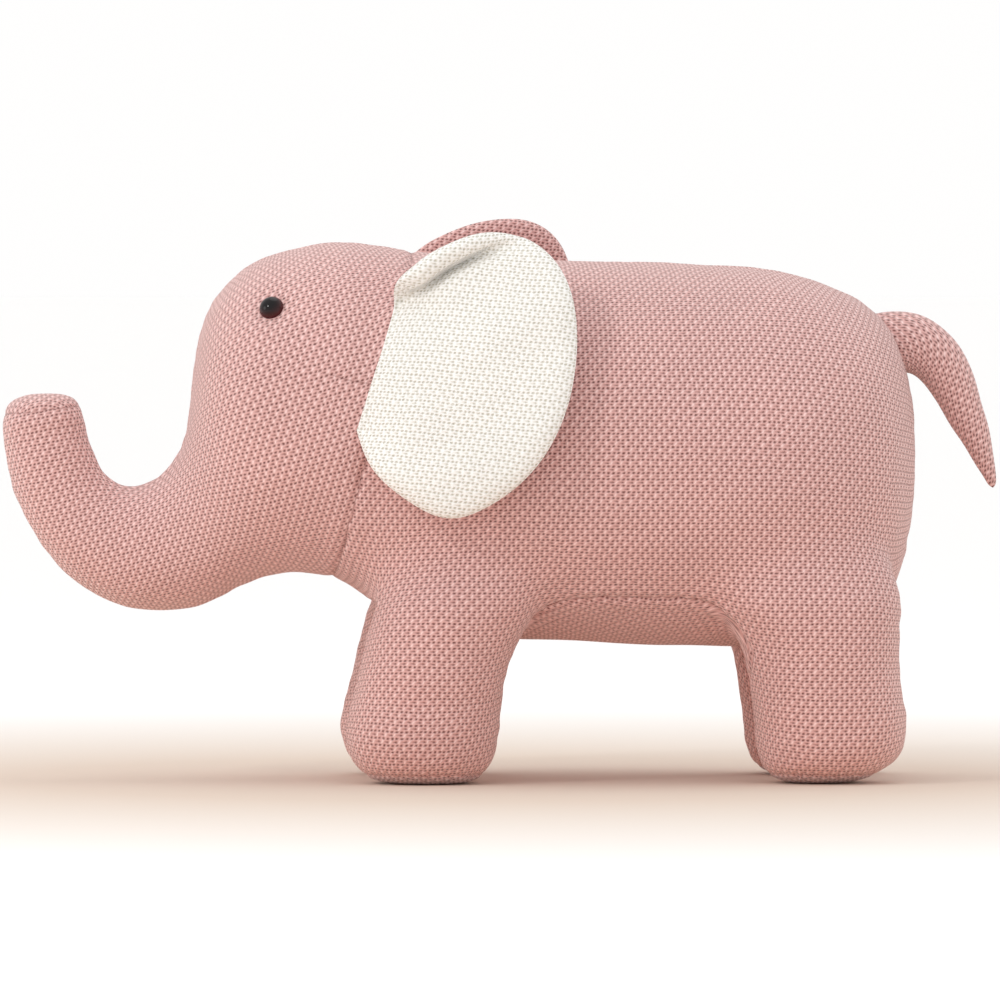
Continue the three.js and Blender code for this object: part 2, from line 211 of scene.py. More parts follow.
# Sewing: how deep and how wide the fabric is drawn in, and how far it swells beside a seam.
SEAM_MARK = 1.7  # how far from a seam its drawn-in stitches still darken the knit
GROOVE_DEPTH = 1.15
GROOVE_WIDTH = 1.5
SWELL_HEIGHT = 0.4
SWELL_AWAY = 5.5
SWELL_WIDTH = 3.0
DART_DEPTH = 0.5
DART_WIDTH = 1.3
DIMPLE_DEPTH = 2.0
DIMPLE_WIDTH = 8.5
BROAD_LUMP = 0.24
BROAD_LUMP_WAVE = 46
FINE_LUMP = 0.10
FINE_LUMP_WAVE = 17
PUCKER_WAVE = 7
SWELL_WAVE = 11

PINK = "pink_knit"
WHITE = "white_knit"


# ---- mesh helpers

def smooth_rows(rows, count):
    """A natural cubic spline through the rows, sampled evenly along its length."""
    rows = np.array(rows, float)
    t = np.concatenate([[0], np.cumsum(np.linalg.norm(np.diff(rows, axis=0), axis=1))])
    h = np.diff(t)
    n = len(t)
    system = np.eye(n)
    right = np.zeros_like(rows)
    for i in range(1, n - 1):
        system[i, i - 1 : i + 2] = h[i - 1], 2 * (h[i - 1] + h[i]), h[i]
        right[i] = 6 * ((rows[i + 1] - rows[i]) / h[i] - (rows[i] - rows[i - 1]) / h[i - 1])
    m = np.linalg.solve(system, right)
    s = np.linspace(0, t[-1], count)
    k = np.clip(np.searchsorted(t, s, side="right") - 1, 0, n - 2)
    a = (t[k + 1] - s)[:, None]
    b = (s - t[k])[:, None]
    hk = h[k][:, None]
    curve = (m[k] * a**3 + m[k + 1] * b**3) / (6 * hk)
    line = (rows[k] / hk - m[k] * hk / 6) * a + (rows[k + 1] / hk - m[k + 1] * hk / 6) * b
    return curve + line


def ring(centre, across, along, sides):
    """A closed superellipse about a centre, between two half axes."""
    turn = (np.arange(sides) + 0.5) / sides * 2 * np.pi
    power = 2 / ROUNDNESS
    c = np.sign(np.cos(turn)) * np.abs(np.cos(turn)) ** power
    s = np.sign(np.sin(turn)) * np.abs(np.sin(turn)) ** power
    return np.array(centre) + np.outer(c, across) + np.outer(s, along)


def loft(rings):
    """Vertices and faces of a closed body skinned over rings."""
    count, sides = len(rings), len(rings[0])
    verts = np.concatenate(rings)
    faces = []
    for i in range(count - 1):
        for j in range(sides):
            k = (j + 1) % sides
            faces.append((i * sides + j, i * sides + k, (i + 1) * sides + k, (i + 1) * sides + j))
    faces.append(tuple(range(sides))[::-1])
    faces.append(tuple((count - 1) * sides + j for j in range(sides)))
    return verts, faces


def tube_faces(rings, sides, first=0):
    """Quads between rings of points that follow one another from the first point."""
    faces = []
    for start in range(first, first + (rings - 1) * sides, sides):
        for j in range(sides):
            k = (j + 1) % sides
            faces.append((start + j, start + sides + j, start + sides + k, start + k))
    return faces


def new_object(name, verts, faces, scale=1.0):
    mesh = bpy.data.meshes.new(name)
    mesh.from_pydata((np.asarray(verts, float) * scale).tolist(), [], [tuple(f) for f in faces])
    mesh.update()
    obj = bpy.data.objects.new(name, mesh)
    bpy.context.scene.collection.objects.link(obj)
    return obj


def apply_modifiers(obj):
    """The mesh that the modifiers make, in place of the one they work on."""
    graph = bpy.context.evaluated_depsgraph_get()
    final = obj.evaluated_get(graph)
    made = bpy.data.meshes.new_from_object(final, preserve_all_data_layers=True, depsgraph=graph)
    obj.modifiers.clear()
    old, obj.data = obj.data, made
    bpy.data.meshes.remove(old)
    return obj


def remesh(obj, size):
    modifier = obj.modifiers.new("Remesh", "REMESH")
    modifier.mode = "VOXEL"
    modifier.voxel_size = size
    return apply_modifiers(obj)


def subdivide(obj):
    modifier = obj.modifiers.new("Subdivision", "SUBSURF")
    modifier.levels = 1
    modifier.render_levels = 1
    modifier.uv_smooth = "PRESERVE_BOUNDARIES"
    return apply_modifiers(obj)


def coordinates(mesh):
    co = np.empty(len(mesh.vertices) * 3)
    mesh.vertices.foreach_get("co", co)
    return co.reshape(-1, 3)


def set_coordinates(mesh, co):
    mesh.vertices.foreach_set("co", np.ascontiguousarray(co, float).ravel())
    mesh.update()


def normals(mesh):
    out = np.empty(len(mesh.vertices) * 3, np.float32)
    mesh.vertex_normals.foreach_get("vector", out)
    return out.reshape(-1, 3).astype(float)


def set_mark(mesh, name, values):
    """Stores a value at each point, for the material to read."""
    mark = mesh.attributes.new(name, "FLOAT", "POINT")
    mark.data.foreach_set("value", np.asarray(values, np.float32).ravel())


def set_knit(mesh, uv):
    """Stores where each face corner lies in the knit, in millimetres."""
    mesh.uv_layers.new(name="knit").data.foreach_set("uv", uv.astype(np.float32).ravel())


def edge_pairs(mesh):
    pairs = np.empty(len(mesh.edges) * 2, np.int32)
    mesh.edges.foreach_get("vertices", pairs)
    return pairs.reshape(-1, 2)


def corner_vertices(mesh):
    """The vertex at each face's corners, one face after another, and how many corners each has."""
    vertex = np.empty(len(mesh.loops), np.int32)
    mesh.loops.foreach_get("vertex_index", vertex)
    corners = np.empty(len(mesh.polygons), np.int32)
    mesh.polygons.foreach_get("loop_total", corners)
    return vertex, corners


def neighbour_offset(co, pairs):
    """For each point, how far the mean of its neighbours lies from it."""
    total = np.zeros_like(co)
    for axis in range(3):
        total[:, axis] = np.bincount(pairs[:, 0], co[pairs[:, 1], axis], len(co))
        total[:, axis] += np.bincount(pairs[:, 1], co[pairs[:, 0], axis], len(co))
    degree = np.bincount(pairs.ravel(), minlength=len(co))
    return total / np.maximum(degree, 1)[:, None] - co


def relax(co, pairs, rounds):
    """Taubin smoothing, which keeps the volume."""
    for _ in range(rounds):
        co = co + 0.5 * neighbour_offset(co, pairs)
        co = co - 0.52 * neighbour_offset(co, pairs)
    return co


def smoothstep(low, high, value):
    t = np.clip((value - low) / (high - low), 0, 1)
    return t * t * (3 - 2 * t)


def waves(co, wavelength, seed):
    """Soft random lumps between about -1 and 1, a fixed sum of sine waves."""
    random = np.random.default_rng(seed)
    count = 7
    direction = random.normal(size=(count, 3))
    direction /= np.linalg.norm(direction, axis=1)[:, None]
    pitch = 2 * np.pi / (wavelength * random.uniform(0.7, 1.5, count))
    phase = random.uniform(0, 2 * np.pi, count)
    return np.sin(co @ (direction * pitch[:, None]).T + phase).sum(1) / math.sqrt(count)


def distances(points, targets):
    """From each point to its nearest target."""
    tree = KDTree(len(targets))
    for i, target in enumerate(targets):
        tree.insert(target, i)
    tree.balance()
    return np.array([tree.find(p)[2] for p in points])


# ---- body skin

def upright(rows, sides):
    rings = []
    for low_x, low_z, high_x, high_z, half_width in rows:
        low = np.array((low_x, 0, low_z))
        high = np.array((high_x, 0, high_z))
        rings.append(ring((low + high) / 2, (0, half_width, 0), (high - low) / 2, sides))
    return loft(rings)


def torso_form():
    rows = [(x, low, x, high, width) for x, low, high, width in TORSO]
    return upright(smooth_rows(rows, 110), 96)


def head_form():
    return upright(smooth_rows(HEAD, 150), 80)


def leg_form(outline, side):
    foot = max(back - front for z, front, back in outline if z < CHEST_SEAM_Z / 2)
    rings = []
    for z, front, back in smooth_rows(outline, 70):
        share = (back - front) / foot if z < CHEST_SEAM_Z / 2 else 1
        lean = LEG_TOP_LEAN * max(0, z - CHEST_SEAM_Z)
        half_width = LEG_HALF_WIDTH * min(1, share)
        centre = ((front + back) / 2, side * (LEG_Y - lean), z)
        rings.append(ring(centre, ((back - front) / 2, 0, 0), (0, half_width, 0), 56))
    return loft(rings)


def neck_x(z):
    slope = (NECK_TOP[0] - NECK_LOW[0]) / (NECK_TOP[1] - NECK_LOW[1])
    return NECK_TOP[0] + (z - NECK_TOP[1]) * slope


def belly_seam_z(x):
    """The seam between flank and underbody arches up between the legs."""
    share = np.abs((x - BELLY_MIDDLE_X) / BELLY_HALF_LENGTH)
    return BELLY_SEAM_BASE + BELLY_SEAM_RISE * (1 - np.minimum(share, 1) ** 5)


def tip_seam_z(x):
    return TIP_SEAM_Z + TIP_SEAM_RISE * (x - TIP_MIDDLE_X)


SOLES = ["sole_front_left", "sole_front_right", "sole_rear_left", "sole_rear_right"]
PANELS = SOLES + [
    "side_panel_left",
    "side_panel_right",
    "underbody_panel",
    "head_panel_left",
    "head_panel_right",
    "trunk_tip_cap",
]


def panel_at(x, y, z):
    """The panel that a point of the skin belongs to."""
    left = y < 0
    if z < SOLE_SEAM_Z:
        return SOLES[(0 if x < BELLY_MIDDLE_X else 2) + (0 if left else 1)]
    if x < neck_x(z):
        if z > tip_seam_z(x) and x < TIP_X:
            return "trunk_tip_cap"
        return "head_panel_left" if left else "head_panel_right"
    between_legs = abs(x - BELLY_MIDDLE_X) < BELLY_HALF_LENGTH
    if (abs(y) < LEG_Y and z < CHEST_SEAM_Z) or (between_legs and z < belly_seam_z(x)):
        return "underbody_panel"
    return "side_panel_left" if left else "side_panel_right"


def cut(bm, point, direction, wanted):
    """Cuts the wanted faces along a plane."""
    faces = [f for f in bm.faces if wanted(f.calc_center_median())]
    edges = {e for f in faces for e in f.edges}
    verts = {v for f in faces for v in f.verts}
    bmesh.ops.bisect_plane(
        bm, geom=[*faces, *edges, *verts], dist=0.02, plane_co=point, plane_no=direction
    )


def cut_panels(mesh):
    """Cuts the skin along its seams and numbers each face's panel.

    The arched belly seam is cut as a plane, with the skin lowered by the arch meanwhile.
    """
    bm = bmesh.new()
    bm.from_mesh(mesh)
    cut(bm, (0, 0, SOLE_SEAM_Z), (0, 0, 1), lambda c: c.z < 15)
    lean = Vector((NECK_TOP[0] - NECK_LOW[0], 0, NECK_TOP[1] - NECK_LOW[1]))
    cut(bm, (NECK_TOP[0], 0, NECK_TOP[1]), (lean.z, 0, -lean.x), lambda c: -110 < c.x < -25)
    tip = (TIP_MIDDLE_X, 0, TIP_SEAM_Z)
    cut(bm, tip, (-TIP_SEAM_RISE, 0, 1), lambda c: c.x < TIP_X and c.z > 170)
    near_leg = lambda c: abs(c.x - BELLY_MIDDLE_X) > 42 and c.x > neck_x(c.z)
    for side in (-1, 1):
        cut(bm, (0, side * LEG_Y, 0), (0, 1, 0), lambda c: near_leg(c) and SOLE_SEAM_Z < c.z < 93)
        end_x = BELLY_MIDDLE_X + side * BELLY_HALF_LENGTH
        belly_end = lambda c: abs(c.x - end_x) < 8 and abs(c.y) > 48 and 40 < c.z < 80
        cut(bm, (end_x, 0, 0), (1, 0, 0), belly_end)
    cut(bm, (0, 0, CHEST_SEAM_Z), (0, 0, 1), lambda c: near_leg(c) and abs(c.y) < 56 and 80 < c.z < 96)
    for v in bm.verts:
        v.co.z -= float(belly_seam_z(v.co.x))
    belly = lambda c: abs(c.x - BELLY_MIDDLE_X) < BELLY_HALF_LENGTH + 2
    cut(bm, (0, 0, 0), (0, 0, 1), lambda c: belly(c) and abs(c.z) < 12 and abs(c.y) > 40)
    for v in bm.verts:
        v.co.z += float(belly_seam_z(v.co.x))
    whole = ("underbody_panel", "trunk_tip_cap", *SOLES)
    cut(bm, (0, 0, 0), (0, 1, 0), lambda c: abs(c.y) < 6 and panel_at(*c) not in whole)
    layer = bm.faces.layers.int.new("panel")
    for face in bm.faces:
        face[layer] = PANELS.index(panel_at(*face.calc_center_median()))
    bm.to_mesh(mesh)
    bm.free()


def face_numbers(mesh, name):
    numbers = np.empty(len(mesh.polygons), np.int32)
    mesh.attributes[name].data.foreach_get("value", numbers)
    return numbers


def tangent(direction, normal):
    return direction - (direction * normal).sum(1)[:, None] * normal


def grain_across(across, up, side):
    """The grain of cloth whose rows run across, on a piece seen from the given side."""
    def grain(normal, centre):
        climb = tangent(np.array(up), normal) + side * np.cross(normal, np.array(across))
        climb /= np.linalg.norm(climb, axis=1).clip(1e-6)[:, None]
        return climb, side * np.cross(climb, normal)
    return grain


def panel_grain(panel):
    """Which way the knit's rows climb on a panel, and which way they run."""
    if panel == "underbody_panel":
        def grain(normal, centre):
            down = np.zeros_like(normal)
            down[:, 2] = np.clip(centre[:, 1] / INNER_LEG_Y, -1, 1)
            climb = np.cross(normal, (1.0, 0, 0)) + tangent(down, normal)
            climb /= np.linalg.norm(climb, axis=1).clip(1e-6)[:, None]
            return climb, np.cross(climb, normal)
        return grain
    if panel in SOLES or panel == "trunk_tip_cap":
        side = -1 if panel in SOLES else 1
        return grain_across((1.0, 0, 0), (0, 1.0, 0), side)
    side = 1 if panel.endswith("left") else -1
    tilt = HEAD_ROW_TILT if panel.startswith("head") else 0
    return grain_across((math.cos(tilt), 0, math.sin(tilt)), (-math.sin(tilt), 0, math.cos(tilt)), side)


def conjugate_gradient(matrix, right, start, diagonal, rounds):
    """Solves matrix(found) = right, from a start, for each column."""
    found = start.copy()
    error = right - matrix(found)
    step = error / diagonal
    way = step.copy()
    size = (error * step).sum(0)
    for _ in range(rounds):
        image = matrix(way)
        share = size / (way * image).sum(0)
        found += share * way
        error -= share * image
        step = error / diagonal
        size, last = (error * step).sum(0), size
        way = step + size / last * way
    return found


def lay_knit(mesh, numbers, grains):
    """Flattens each numbered panel, in millimetres, with its rows along the grain.

    Each panel's uv map is the least-squares fit to the grain's two directions on its triangles.
    """
    mesh.calc_loop_triangles()
    count = len(mesh.loop_triangles)
    corners = np.empty(count * 3, np.int32)
    mesh.loop_triangles.foreach_get("vertices", corners)
    face = np.empty(count, np.int32)
    mesh.loop_triangles.foreach_get("polygon_index", face)
    corners = corners.reshape(-1, 3)
    co = coordinates(mesh)
    points = len(co)
    keys, corner = np.unique(numbers[face][:, None] * points + corners, return_inverse=True)
    corner = corner.reshape(-1, 3)
    p = co[corners]
    normal = np.cross(p[:, 1] - p[:, 0], p[:, 2] - p[:, 0])
    double_area = np.linalg.norm(normal, axis=1).clip(1e-6)
    normal /= double_area[:, None]
    opposite = np.stack([p[:, 2] - p[:, 1], p[:, 0] - p[:, 2], p[:, 1] - p[:, 0]], 1)
    slope = np.cross(normal[:, None], opposite) / double_area[:, None, None]
    wanted = np.zeros((count, 3, 2))
    for number, grain in enumerate(grains):
        mine = numbers[face] == number
        climb, along = grain(normal[mine], p[mine].mean(1))
        wanted[mine, :, 0], wanted[mine, :, 1] = along, climb
    flat_corner = corner.ravel()
    unknowns = len(keys)

    def gather(values):
        return np.stack([np.bincount(flat_corner, values[..., i].ravel(), unknowns) for i in (0, 1)], 1)

    weighted = slope * (double_area / 2)[:, None, None]
    right = gather(np.einsum("tci,tik->tck", weighted, wanted))
    stiffness = np.einsum("tci,tdi->tcd", weighted, slope)
    own = np.einsum("tcc->tc", stiffness).ravel()
    diagonal = np.bincount(flat_corner, own, unknowns)[:, None] + 1e-6
    start = co[keys % points][:, [0, 2]]
    rounds = KNIT_ROUNDS
    flat = conjugate_gradient(lambda f: gather(stiffness @ f[corner]), right, start, diagonal, rounds)
    vertex, sizes = corner_vertices(mesh)
    found = np.searchsorted(keys, np.repeat(numbers, sizes) * points + vertex)
    set_knit(mesh, flat[found])


def joined_forms(name, forms):
    """One object of several closed bodies."""
    verts, faces, offset = [], [], 0
    for form_verts, form_faces in forms:
        verts.append(form_verts)
        faces += [tuple(i + offset for i in face) for face in form_faces]
        offset += len(form_verts)
    return new_object(name, np.concatenate(verts), faces)


def fill_creases(co, obj, pairs, rounds):
    """Stretches the fabric over the creases where the legs leave the torso, outside and in front."""
    for _ in range(rounds):
        set_coordinates(obj.data, co)
        n = normals(obj.data)
        inward = np.einsum("ij,ij->i", neighbour_offset(co, pairs), n)
        x, y, z = co.T
        zone = smoothstep(52, 70, z) * (1 - smoothstep(128, 155, z)) * smoothstep(-100, -80, x)
        zone = zone * np.maximum(smoothstep(58, 80, np.abs(y)), smoothstep(-30, -50, x))
        co = co + (CREASE_FILL * zone * np.maximum(inward, 0))[:, None] * n
    return co


def seam_polyline_distance(co, line):
    """Distance in side view from each point to a line of x, z points, positive above the line."""
    best = np.full(len(co), 1e9)
    p = co[:, [0, 2]]
    for a, b in zip(np.array(line[:-1], float), np.array(line[1:], float)):
        way = b - a
        t = np.clip(((p - a) @ way) / (way @ way), 0, 1)
        off = p - a - t[:, None] * way
        reach = np.linalg.norm(off, axis=1)
        above = np.sign(way[0] * off[:, 1] - way[1] * off[:, 0])
        best = np.where(reach < np.abs(best), reach * above, best)
    return best


def body_skin():
    """The whole sewn skin of torso, legs, head and trunk as one mesh with numbered panels."""
    forms = [torso_form(), head_form()]
    for side in (-1, 1):
        forms += [leg_form(FRONT_LEG, side), leg_form(REAR_LEG, side)]
    obj = remesh(joined_forms("skin", forms), VOXEL)
    pairs = edge_pairs(obj.data)
    co = relax(coordinates(obj.data), pairs, FIRST_RELAX)
    co = fill_creases(co, obj, pairs, CREASE_ROUNDS)
    co = relax(co, pairs, LAST_RELAX)
    co[:, 2] = np.where(co[:, 2] < SOLE_FLAT, np.maximum(co[:, 2], 0.0), co[:, 2])
    set_coordinates(obj.data, co)
    cut_panels(obj.data)
    grains = [panel_grain(name) for name in PANELS]
    lay_knit(obj.data, face_numbers(obj.data, "panel"), grains)
    return subdivide(obj)


def seam_points(mesh, numbers):
    """The vertices on a seam between two panels."""
    owner = np.full(len(mesh.vertices), -1)
    mixed = np.zeros(len(mesh.vertices), bool)
    vertex, sizes = corner_vertices(mesh)
    panel = np.repeat(numbers, sizes)
    owner[vertex] = panel
    np.logical_or.at(mixed, vertex, owner[vertex] != panel)
    return np.nonzero(mixed)[0]


def sew(obj):
    """Pulls the seams and the eyes in, and puts the filling's soft lumps in the fabric."""
    mesh = obj.data
    co, n = coordinates(mesh), normals(mesh)
    seams = seam_points(mesh, face_numbers(mesh, "panel"))
    away = distances(co, co[seams])
    x, y, z = co.T
    flat = 1 - np.exp(-((z / 3) ** 2))
    loose = 0.35 + 0.65 * smoothstep(5, 16, z) * (1 - smoothstep(176, 184, z) * (x < TIP_X))
    pucker = 1 + 0.35 * waves(co, PUCKER_WAVE, 3)
    groove = GROOVE_DEPTH * np.exp(-((away / GROOVE_WIDTH) ** 2)) * pucker * loose
    beside = np.exp(-(((away - SWELL_AWAY) / SWELL_WIDTH) ** 2))
    swell = SWELL_HEIGHT * beside * (1 + 0.5 * waves(co, SWELL_WAVE, 4)) * loose
    dart = seam_polyline_distance(co, CHEEK_DART)
    near_dart = smoothstep(-91, -84, x) * (np.abs(y) > 30) * (1 - smoothstep(3, 6, np.abs(dart)))
    groove += DART_DEPTH * np.exp(-((dart / DART_WIDTH) ** 2)) * near_dart
    eye = np.hypot(x - EYE_XZ[0], z - EYE_XZ[1])
    dimple = DIMPLE_DEPTH * np.exp(-((eye / DIMPLE_WIDTH) ** 2)) * (np.abs(y) > 20)
    lumps = BROAD_LUMP * waves(co, BROAD_LUMP_WAVE, 5) + FINE_LUMP * waves(co, FINE_LUMP_WAVE, 6)
    move = (lumps + swell) * flat - groove - dimple
    set_coordinates(mesh, co + move[:, None] * n)
    marks = {"seam": np.maximum(0, 1 - away / SEAM_MARK), "dart": dart, "near_dart": near_dart}
    for name, values in marks.items():
        set_mark(mesh, name, values)
    return obj


def panel_objects(skin):
    """One object for each panel, cut out of the sewn skin."""
    mesh = skin.data
    co = coordinates(mesh)
    numbers = face_numbers(mesh, "panel")
    uv = np.empty(len(mesh.loops) * 2, np.float32)
    mesh.uv_layers["knit"].data.foreach_get("uv", uv)
    uv = uv.reshape(-1, 2)
    vertex, sizes = corner_vertices(mesh)
    panel = np.repeat(numbers, sizes)
    marks = {}
    for name in ("seam", "dart", "near_dart"):
        marks[name] = np.empty(len(co), np.float32)
        mesh.attributes[name].data.foreach_get("value", marks[name])
    made = {}
    for number, name in enumerate(PANELS):
        loops = panel == number
        used, index = np.unique(vertex[loops], return_inverse=True)
        cuts = np.cumsum(sizes[numbers == number])[:-1]
        faces = [tuple(face) for face in np.split(index, cuts)]
        obj = new_object(name.replace("panel", "cover") + "_knit", co[used], faces, MM)
        set_knit(obj.data, uv[loops])
        for mark, values in marks.items():
            set_mark(obj.data, mark, values[used])
        made[name] = obj
    bpy.data.objects.remove(skin)
    return made


# ---- materials

def linear(red, green, blue):
    """A colour given as 0 to 255 display values."""
    def channel(value):
        value /= 255
        return value / 12.92 if value <= 0.04045 else ((value + 0.055) / 1.055) ** 2.4
    return (channel(red), channel(green), channel(blue), 1.0)


class Nodes:
    """A new material, and short names for building its node tree."""

    def __init__(self, name):
        self.material = bpy.data.materials.new(name)
        self.material.use_nodes = True
        self.tree = self.material.node_tree
        self.shader = self.tree.nodes["Principled BSDF"]
        self.place = self.add("ShaderNodeTexCoord").outputs["Object"]

    def add(self, kind, **settings):
        node = self.tree.nodes.new(kind)
        for key, value in settings.items():
            setattr(node, key, value)
        return node

    def plug(self, value, socket):
        if isinstance(value, bpy.types.NodeSocket):
            self.tree.links.new(value, socket)
        else:
            socket.default_value = value

    def math(self, operation, a, b=0.0, clamp=False):
        node = self.add("ShaderNodeMath", operation=operation, use_clamp=clamp)
        self.plug(a, node.inputs[0])
        self.plug(b, node.inputs[1])
        return node.outputs[0]

    def plus(self, a, b):
        return self.math("ADD", a, b)

    def minus(self, a, b):
        return self.math("SUBTRACT", a, b)

    def times(self, a, b):
        return self.math("MULTIPLY", a, b)

    def mix(self, share, a, b, blend="MIX"):
        node = self.add("ShaderNodeMix", data_type="RGBA", blend_type=blend)
        self.plug(share, node.inputs[0])
        self.plug(a, node.inputs[6])
        self.plug(b, node.inputs[7])
        return node.outputs[2]

    def noise(self, vector, scale, detail=2.0, roughness=0.5):
        node = self.add("ShaderNodeTexNoise")
        self.plug(vector, node.inputs["Vector"])
        node.inputs["Scale"].default_value = scale
        node.inputs["Detail"].default_value = detail
        node.inputs["Roughness"].default_value = roughness
        return node.outputs[0]

    def spot(self, u, v, half_width, half_height):
        """A soft spot about the zero of u and v."""
        a = self.math("POWER", self.math("ABSOLUTE", self.math("DIVIDE", u, half_width)), 2.0)
        b = self.math("POWER", self.math("ABSOLUTE", self.math("DIVIDE", v, half_height)), 2.0)
        return self.math("EXPONENT", self.times(self.plus(a, b), -1.0))

    def cell(self, value, shift):
        """The signed distance from the middle of the repeat that a value lies in."""
        return self.minus(self.math("FRACT", self.plus(value, shift)), 0.5)

    def mark(self, name):
        """A value that the mesh carries at its points."""
        return self.add("ShaderNodeAttribute", attribute_name=name).outputs["Fac"]

    def give(self, socket, value):
        self.plug(value, self.shader.inputs[socket])

    def bump(self, height, strength, distance):
        node = self.add("ShaderNodeBump")
        node.inputs["Strength"].default_value = strength
        node.inputs["Distance"].default_value = distance
        self.plug(height, node.inputs["Height"])
        self.give("Normal", node.outputs[0])


COLUMN_MM = 2.3  # from stitch to stitch across
ROW_MM = 3.2  # from one open row of stitches to the next


def stitches(n, uv):
    """Where the knit's holes and its raised loops are, from 0 to 1, on a uv map in millimetres."""
    flat = n.add("ShaderNodeSeparateXYZ")
    n.plug(uv, flat.inputs[0])

    def stray(scale, detail, reach):
        return n.times(n.minus(n.noise(uv, scale, detail), 0.5), reach)

    u = n.plus(n.plus(flat.outputs[0], stray(0.10, 2, 1.8)), stray(0.45, 1, 0.7))
    v = n.plus(n.plus(flat.outputs[1], stray(0.07, 2, 1.5)), stray(0.52, 1, 0.55))
    row = n.math("DIVIDE", v, ROW_MM)
    column = n.math("DIVIDE", u, COLUMN_MM)
    staggered = n.times(n.math("FLOOR", n.plus(row, 0.5)), 0.5)
    pair = n.plus(n.times(column, 0.5), staggered)
    across = n.times(n.cell(column, 0.0), COLUMN_MM)
    down = n.times(n.cell(row, 0.0), ROW_MM)
    between = n.times(n.cell(row, 0.5), ROW_MM)
    open_hole = n.spot(n.minus(across, n.times(down, 0.3)), down, 0.72, 0.56)
    dash_across = n.times(n.cell(pair, 0.0), 2 * COLUMN_MM)
    dash = n.spot(dash_across, between, 1.5, 0.44)
    close_hole = n.spot(n.minus(dash_across, 0.85), between, 0.6, 0.5)
    close_row = n.plus(n.times(dash, 0.46), n.times(close_hole, 0.5))
    vary = n.plus(0.55, n.times(n.noise(uv, 0.9, 2), 0.9))
    hole = n.math("MULTIPLY", n.plus(open_hole, close_row), vary, clamp=True)
    stroke_across = n.times(n.cell(pair, 0.5), 2 * COLUMN_MM)
    turned = (0.62, 0.78)  # cosine and sine of the long loops' slant
    slant_a = n.times(stroke_across, turned[0])
    slant_a = n.plus(slant_a, n.times(between, turned[1]))
    slant_b = n.times(between, turned[0])
    slant_b = n.minus(slant_b, n.times(stroke_across, turned[1]))
    long_loop = n.spot(slant_a, slant_b, 1.35, 0.5)
    tick_across = n.times(n.cell(column, 0.5), COLUMN_MM)
    tick = n.spot(n.minus(tick_across, n.times(down, 0.6)), down, 0.44, 0.62)
    loop = n.math("MAXIMUM", long_loop, n.times(tick, 0.4))
    return hole, loop


def knit(name, yarn, hollow, painted_loop_highlight, sheen):
    """A coarse knit: open rows of stitch holes with closer rows between them."""
    n = Nodes(name)
    uv = n.add("ShaderNodeUVMap", uv_map="knit").outputs[0]
    hole, loop = stitches(n, uv)
    fibre = n.noise(uv, 3.4, 3, 0.65)
    blotch = n.noise(n.place, 16.0, 3)
    heather = n.noise(uv, 0.35, 3, 0.6)
    # The loops' lighter colour is a painted highlight on the raised yarn; the holes' darker colour is
    # partly the knit's open weave and partly painted shade inside the holes.
    colour = n.mix(n.times(loop, 0.85), yarn, painted_loop_highlight)
    colour = n.mix(n.times(hole, 0.9), colour, hollow)
    shade = n.plus(0.86, n.times(blotch, 0.16))
    shade = n.plus(shade, n.times(heather, 0.10))
    shade = n.plus(shade, n.times(n.minus(fibre, 0.5), 0.20))
    grey = n.add("ShaderNodeCombineColor")
    for socket in grey.inputs[:3]:
        n.plug(shade, socket)
    colour = n.mix(1.0, colour, grey.outputs[0], "MULTIPLY")
    # Dark sewn lines at the dart and the seams; on the left ear's lining the "seam" mark is painted
    # shade in the pleat's crease.
    line = n.times(n.spot(n.mark("dart"), 0.0, 0.42, 1.0), n.mark("near_dart"))
    line = n.math("MAXIMUM", line, n.math("POWER", n.mark("seam"), 3.5))
    colour = n.mix(n.times(line, 0.42), colour, hollow)
    n.give("Base Color", colour)
    height = n.minus(n.times(loop, 0.30), hole)
    height = n.plus(height, n.times(fibre, 0.22))
    n.bump(height, 0.85, 0.0007)
    rough = n.plus(0.84, n.times(fibre, 0.12))
    n.give("Roughness", rough)
    n.give("Specular IOR Level", 0.22)
    n.give("Sheen Weight", sheen)
    n.give("Sheen Roughness", 0.45)
    n.give("Sheen Tint", linear(255, 246, 244))
    return n.material


def pink_knit():
    yarn, hollow, painted_loop_highlight = linear(226, 178, 173), linear(96, 42, 36), linear(255, 224, 221)
    return knit("pink_knit_yarn", yarn, hollow, painted_loop_highlight, 0.50)


def white_knit():
    yarn, hollow, painted_loop_highlight = linear(250, 249, 246), linear(196, 190, 170), linear(255, 255, 254)
    return knit("white_knit_yarn", yarn, hollow, painted_loop_highlight, 0.15)


def eye_gloss():
    """Black moulded plastic, with a painted red-brown reflection towards its rim."""
    n = Nodes("eye_gloss")
    rim = n.mark("rim")
    tone = n.mix(n.noise(n.place, 140.0, 2), linear(7, 6, 8), linear(17, 11, 11))
    # Painted red-brown reflection at the dome's rim, placed by the rim mark.
    n.give("Base Color", n.mix(n.math("POWER", rim, 5.0), tone, linear(74, 28, 30)))
    rough = n.plus(0.05, n.times(n.noise(n.place, 900.0, 2), 0.04))
    n.give("Roughness", rough)
    n.give("Specular IOR Level", 0.28)
    return n.material


def fibre_fill():
    """Crimped white polyester filling."""
    n = Nodes("fibre_fill")
    strands = n.noise(n.place, 900.0, 5, 0.7)
    clumps = n.noise(n.place, 70.0, 3)
    colour = n.mix(strands, linear(214, 213, 206), linear(248, 248, 245))
    colour = n.mix(n.times(clumps, 0.3), colour, linear(200, 199, 192))
    n.give("Base Color", colour)
    n.bump(n.plus(strands, clumps), 0.9, 0.0012)
    n.give("Roughness", n.plus(0.88, n.times(strands, 0.1)))
    n.give("Sheen Weight", 0.4)
    return n.material


